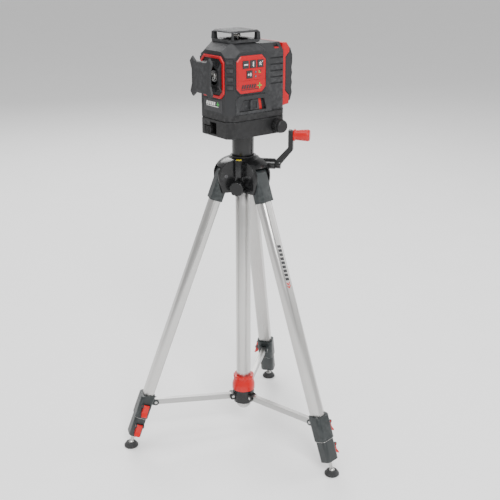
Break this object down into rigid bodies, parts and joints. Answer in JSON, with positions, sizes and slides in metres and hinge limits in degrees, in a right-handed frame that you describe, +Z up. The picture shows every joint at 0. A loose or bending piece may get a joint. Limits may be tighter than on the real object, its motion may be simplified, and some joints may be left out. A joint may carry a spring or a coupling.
{
  "type": "laser level on tripod",
  "caption": "Self-levelling cross-line laser on a folding crank-up tripod; turns on its base and screws off; legs telescope, spread by sliding braces.",
  "frame": {"origin": "on the floor, under the middle of the box round the whole object", "axes": "+Z up along the tripod's axis; the level's keypad faces -Y and its side window -X at rest"},
  "size_m": [0.3858, 0.366, 0.7256],
  "materials": {
    "head_plastic": "glossy black moulding",
    "vial": "yellow spirit vial",
    "steel": "plain steel",
    "aluminium": "satin anodised",
    "clamp_plastic": "dark grey moulding",
    "signal_red": "bright red moulding",
    "rubber": "soft black rubber",
    "base_plastic": "near-black fine-textured plastic",
    "body_plastic": "charcoal fine-textured plastic",
    "housing_red": "satin red plastic",
    "button_plastic": "black silicone keys",
    "optical_glass": "clear glass",
    "cast_alloy": "die-cast alloy"
  },
  "bodies": {
    "root": {"head_casting": "head_plastic", "bubble_vial": "vial", "head_pins": "steel", "centre_tube": "aluminium", "tube_end_cap": "aluminium"},
    "column": {"column_post": "aluminium", "column_head": "head_plastic", "mount_stud": "steel"},
    "crank": {"crank_handle": "head_plastic"},
    "crank_knob": {"crank_grip": "signal_red"},
    "lock_knob": {"column_lock_knob": "head_plastic"},
    "spreader": {"spreader_hub": "head_plastic"},
    "collar": {"lock_collar": "signal_red"},
    "brace_1": {"brace_1": "aluminium"},
    "leg_1": {"leg_yoke_1": "clamp_plastic", "leg_tube_1": "aluminium", "upper_clamp_1": "clamp_plastic"},
    "upper_lever_1": {"upper_lever_1": "signal_red"},
    "leg_middle_1": {"leg_middle_1": "clamp_plastic"},
    "lower_lever_1": {"lower_lever_1": "signal_red"},
    "leg_lower_1": {"leg_lower_1": "aluminium"},
    "foot_1": {"foot_pad_1": "rubber"},
    "brace_2": {"brace_2": "aluminium"},
    "leg_2": {"leg_yoke_2": "clamp_plastic", "leg_tube_2": "aluminium", "upper_clamp_2": "clamp_plastic"},
    "upper_lever_2": {"upper_lever_2": "signal_red"},
    "leg_middle_2": {"leg_middle_2": "clamp_plastic"},
    "lower_lever_2": {"lower_lever_2": "signal_red"},
    "leg_lower_2": {"leg_lower_2": "aluminium"},
    "foot_2": {"foot_pad_2": "rubber"},
    "brace_3": {"brace_3": "aluminium"},
    "leg_3": {"leg_yoke_3": "clamp_plastic", "leg_tube_3": "aluminium", "upper_clamp_3": "clamp_plastic"},
    "upper_lever_3": {"upper_lever_3": "signal_red"},
    "leg_middle_3": {"leg_middle_3": "clamp_plastic"},
    "lower_lever_3": {"lower_lever_3": "signal_red"},
    "leg_lower_3": {"leg_lower_3": "aluminium"},
    "foot_3": {"foot_pad_3": "rubber"},
    "level_base": {"level_base": "base_plastic"},
    "fine_knob": {"fine_adjust_knob": "base_plastic"},
    "level_body": {"turn_ring": "base_plastic", "body_shell": "body_plastic", "back_cover": "body_plastic", "keypad_panel": "housing_red", "window_bezel": "housing_red", "side_guard": "body_plastic", "top_cage": "body_plastic"},
    "lock_slider": {"lock_slider": "body_plastic"},
    "battery": {"battery_case": "housing_red", "battery_grip": "body_plastic"},
    "battery_release": {"battery_release": "housing_red"},
    "gimbal": {"gimbal_ring": "cast_alloy"},
    "pendulum": {"laser_pendulum": "cast_alloy", "laser_cones": "optical_glass"},
    "button_horizontal": {"button_horizontal": "button_plastic"},
    "button_vertical": {"button_vertical": "button_plastic"},
    "button_power_boost": {"button_power_boost": "button_plastic"},
    "button_outdoor": {"button_outdoor": "button_plastic"}
  },
  "joints": [
    {"name": "column_lift", "type": "slide", "parent": "root", "child": "column", "axis": [0, 0, 1], "range_m": [0, 0.25]},
    {"name": "crank_turn", "type": "hinge", "parent": "root", "child": "crank", "pos_m": [0.02653, 0.0501, 0.505], "axis": [-0.6691, 0.7431, 0], "range_deg": [0, 2390]},
    {"name": "crank_grip_spin", "type": "hinge", "parent": "crank", "child": "crank_knob", "pos_m": [0.08006, -0.00935, 0.555], "axis": [0.6691, -0.7431, 0], "continuous": true},
    {"name": "column_lock_turn", "type": "hinge", "parent": "root", "child": "lock_knob", "pos_m": [-0.01294, 0.01785, 0.474], "axis": [-0.788, -0.6157, 0], "range_deg": [0, 360]},
    {"name": "spreader_slide", "type": "slide", "parent": "root", "child": "spreader", "axis": [0, 0, 1], "range_m": [0, 0.13215]},
    {"name": "collar_twist", "type": "hinge", "parent": "spreader", "child": "collar", "pos_m": [0.01464, 0.0394, 0.09373], "axis": [0, 0, 1], "range_deg": [0, 60]},
    {"name": "brace_1_swing", "type": "hinge", "parent": "spreader", "child": "brace_1", "pos_m": [0.01763, 0.01811, 0.07373], "axis": [0.9903, 0.1392, 0], "range_deg": [0, 91.71]},
    {"name": "leg_1_fold", "type": "hinge", "parent": "brace_1", "child": "leg_1", "pos_m": [0.03739, -0.12248, 0.08365], "axis": [-0.9903, -0.1392, 0], "range_deg": [0, 73.21]},
    {"name": "upper_lever_1_flip", "type": "hinge", "parent": "leg_1", "child": "upper_lever_1", "pos_m": [0.05775, -0.13877, 0.08417], "axis": [0.1308, -0.9305, 0.342], "range_deg": [0, 95]},
    {"name": "leg_1_middle_slide", "type": "slide", "parent": "leg_1", "child": "leg_middle_1", "axis": [0.0476, -0.3387, -0.9397], "range_m": [0, 0.3]},
    {"name": "lower_lever_1_flip", "type": "hinge", "parent": "leg_middle_1", "child": "lower_lever_1", "pos_m": [0.05817, -0.15253, 0.04659], "axis": [0.1308, -0.9305, 0.342], "range_deg": [0, 95]},
    {"name": "leg_1_lower_slide", "type": "slide", "parent": "leg_middle_1", "child": "leg_lower_1", "axis": [0.0476, -0.3387, -0.9397], "range_m": [0, 0.3]},
    {"name": "foot_1_swivel", "type": "hinge", "parent": "leg_lower_1", "child": "foot_1", "pos_m": [0.04391, -0.1689, 0.0075], "axis": [0.9903, 0.1392, 0], "range_deg": [-18, 18]},
    {"name": "brace_2_swing", "type": "hinge", "parent": "spreader", "child": "brace_2", "pos_m": [0.03158, 0.05264, 0.07373], "axis": [-0.6157, 0.788, 0], "range_deg": [0, 91.71]},
    {"name": "leg_2_fold", "type": "hinge", "parent": "brace_2", "child": "leg_2", "pos_m": [0.14345, 0.14004, 0.08365], "axis": [0.6157, -0.788, 0], "range_deg": [0, 73.21]},
    {"name": "upper_lever_2_flip", "type": "hinge", "parent": "leg_2", "child": "upper_lever_2", "pos_m": [0.14738, 0.16582, 0.08417], "axis": [0.7405, 0.5785, 0.342], "range_deg": [0, 95]},
    {"name": "leg_2_middle_slide", "type": "slide", "parent": "leg_2", "child": "leg_middle_2", "axis": [0.2695, 0.2106, -0.9397], "range_m": [0, 0.3]},
    {"name": "lower_lever_2_flip", "type": "hinge", "parent": "leg_middle_2", "child": "lower_lever_2", "pos_m": [0.15908, 0.17306, 0.04659], "axis": [0.7405, 0.5785, 0.342], "range_deg": [0, 95]},
    {"name": "leg_2_lower_slide", "type": "slide", "parent": "leg_middle_2", "child": "leg_lower_2", "axis": [0.2695, 0.2106, -0.9397], "range_m": [0, 0.3]},
    {"name": "foot_2_swivel", "type": "hinge", "parent": "leg_lower_2", "child": "foot_2", "pos_m": [0.18039, 0.1689, 0.0075], "axis": [-0.6157, 0.788, 0], "range_deg": [-18, 18]},
    {"name": "brace_3_swing", "type": "hinge", "parent": "spreader", "child": "brace_3", "pos_m": [-0.0053, 0.04745, 0.07373], "axis": [-0.3746, -0.9272, 0], "range_deg": [0, 91.71]},
    {"name": "leg_3_fold", "type": "hinge", "parent": "brace_3", "child": "leg_3", "pos_m": [-0.13693, 0.10064, 0.08365], "axis": [0.3746, 0.9272, 0], "range_deg": [0, 73.21]},
    {"name": "upper_lever_3_flip", "type": "hinge", "parent": "leg_3", "child": "upper_lever_3", "pos_m": [-0.16122, 0.09114, 0.08417], "axis": [-0.8713, 0.352, 0.342], "range_deg": [0, 95]},
    {"name": "leg_3_middle_slide", "type": "slide", "parent": "leg_3", "child": "leg_middle_3", "axis": [-0.3171, 0.1281, -0.9397], "range_m": [0, 0.3]},
    {"name": "lower_lever_3_flip", "type": "hinge", "parent": "leg_middle_3", "child": "lower_lever_3", "pos_m": [-0.17334, 0.09766, 0.04659], "axis": [-0.8713, 0.352, 0.342], "range_deg": [0, 95]},
    {"name": "leg_3_lower_slide", "type": "slide", "parent": "leg_middle_3", "child": "leg_lower_3", "axis": [-0.3171, 0.1281, -0.9397], "range_m": [0, 0.3]},
    {"name": "foot_3_swivel", "type": "hinge", "parent": "leg_lower_3", "child": "foot_3", "pos_m": [-0.18039, 0.11819, 0.0075], "axis": [-0.3746, -0.9272, 0], "range_deg": [-18, 18]},
    {"name": "level_lift_off", "type": "slide", "parent": "column", "child": "level_base", "axis": [0, 0, 1], "range_m": [0, 0.03]},
    {"name": "level_turn", "type": "hinge", "parent": "level_base", "child": "level_body", "pos_m": [0.01464, 0.0394, 0.5906], "axis": [0, 0, 1], "range_deg": [-180, 180]},
    {"name": "fine_adjust_turn", "type": "hinge", "parent": "level_base", "child": "fine_knob", "pos_m": [0.05064, -0.0106, 0.5741], "axis": [0, -1, 0], "range_deg": [-2160, 2160]},
    {"name": "pendulum_lock_slide", "type": "slide", "parent": "level_body", "child": "lock_slider", "axis": [1, 0, 0], "range_m": [0, 0.009]},
    {"name": "battery_slide_off", "type": "slide", "parent": "level_body", "child": "battery", "axis": [1, 0, 0], "range_m": [0, 0.035]},
    {"name": "battery_release_press", "type": "slide", "parent": "level_body", "child": "battery_release", "axis": [0, 0, -1], "range_m": [0, 0.002], "stiffness_N_per_m": 300, "springref_m": -0.001},
    {"name": "gimbal_roll", "type": "hinge", "parent": "level_body", "child": "gimbal", "pos_m": [0.00114, 0.0394, 0.6826], "axis": [1, 0, 0], "range_deg": [-3, 3]},
    {"name": "pendulum_pitch", "type": "hinge", "parent": "gimbal", "child": "pendulum", "pos_m": [0.00114, 0.0394, 0.6826], "axis": [0, 1, 0], "range_deg": [-3, 3]},
    {"name": "button_horizontal_press", "type": "slide", "parent": "level_body", "child": "button_horizontal", "axis": [0, 1, 0], "range_m": [0, 0.0008], "stiffness_N_per_m": 400, "springref_m": -0.0005},
    {"name": "button_vertical_press", "type": "slide", "parent": "level_body", "child": "button_vertical", "axis": [0, 1, 0], "range_m": [0, 0.0008], "stiffness_N_per_m": 400, "springref_m": -0.0005},
    {"name": "button_power_boost_press", "type": "slide", "parent": "level_body", "child": "button_power_boost", "axis": [0, 1, 0], "range_m": [0, 0.0008], "stiffness_N_per_m": 400, "springref_m": -0.0005},
    {"name": "button_outdoor_press", "type": "slide", "parent": "level_body", "child": "button_outdoor", "axis": [0, 1, 0], "range_m": [0, 0.0008], "stiffness_N_per_m": 400, "springref_m": -0.0005}
  ],
  "couplings": [
    {"joint": "crank_turn", "follows": "column_lift", "rad_per_m": 166.67},
    {"joint": "brace_1_swing", "follows": "spreader_slide", "rad_per_m": 12.111},
    {"joint": "leg_1_fold", "follows": "spreader_slide", "rad_per_m": 9.6677},
    {"joint": "brace_2_swing", "follows": "spreader_slide", "rad_per_m": 12.111},
    {"joint": "leg_2_fold", "follows": "spreader_slide", "rad_per_m": 9.6677},
    {"joint": "brace_3_swing", "follows": "spreader_slide", "rad_per_m": 12.111},
    {"joint": "leg_3_fold", "follows": "spreader_slide", "rad_per_m": 9.6677},
    {"joint": "fine_adjust_turn", "follows": "level_turn", "ratio": 12}
  ]
}
